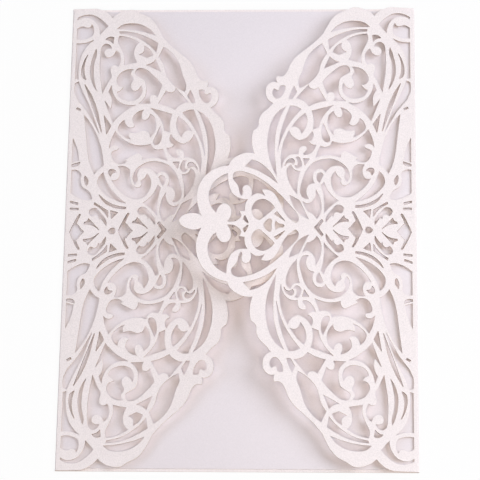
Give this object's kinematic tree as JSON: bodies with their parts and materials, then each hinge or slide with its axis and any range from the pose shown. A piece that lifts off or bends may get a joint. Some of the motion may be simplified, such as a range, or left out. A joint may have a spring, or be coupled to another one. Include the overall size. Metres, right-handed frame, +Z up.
{
  "type": "laser-cut invitation card",
  "caption": "Gatefold paper wrap whose scalloped, scroll-pierced flaps overlap at a pointed tab above a plain insert card.",
  "frame": {"origin": "centre of the back panel's underside, the face that the card lies on", "axes": "+Z up out of the card's front, +Y towards its top edge, +X towards the fold of the upper flap"},
  "size_m": [0.13, 0.18, 0.0141],
  "materials": {
    "pearl_wrap": "pearl, lightly grained",
    "insert_card": "smooth, faint sheen"
  },
  "bodies": {
    "root": {"wrap": "pearl_wrap", "insert_card": "insert_card"}
  },
  "joints": []
}
